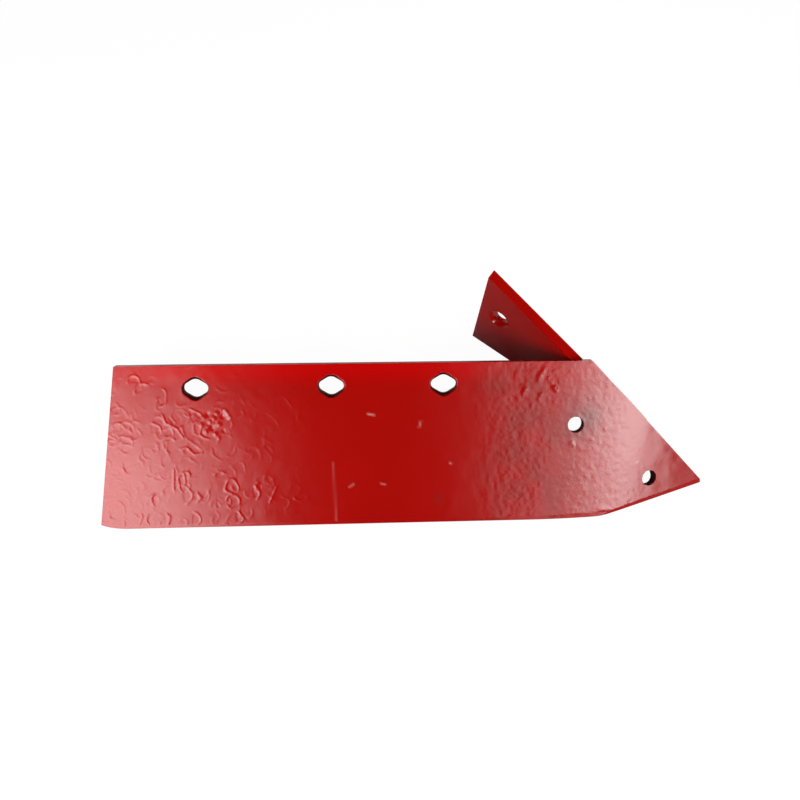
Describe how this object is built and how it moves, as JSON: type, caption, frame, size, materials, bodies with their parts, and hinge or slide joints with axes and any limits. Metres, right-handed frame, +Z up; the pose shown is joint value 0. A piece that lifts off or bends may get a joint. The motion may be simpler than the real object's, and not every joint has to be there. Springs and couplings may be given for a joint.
{
  "type": "plough share",
  "caption": "Right-hand bar plough share with a bent nose, a row of countersunk diamond bolt holes and a triangular landside plate welded under its shin.",
  "frame": {"origin": "on the ground under the middle of the part, as it stands on its wing corner, its point and the heel of its landside", "axes": "+X follows the bolting edge towards the point, +Y runs from the cutting edge to the landside, +Z up"},
  "size_m": [0.5864, 0.224, 0.1216],
  "materials": {
    "share_paint": "glossy dipped paint over hot-worked steel",
    "landside_paint": "glossy dipped paint over rolled plate",
    "weld_paint": "glossy dipped paint over a weld bead"
  },
  "bodies": {
    "root": {"share_blade": "share_paint", "landside_plate": "landside_paint", "inner_weld_bead": "weld_paint", "outer_weld_bead": "weld_paint"}
  },
  "joints": []
}
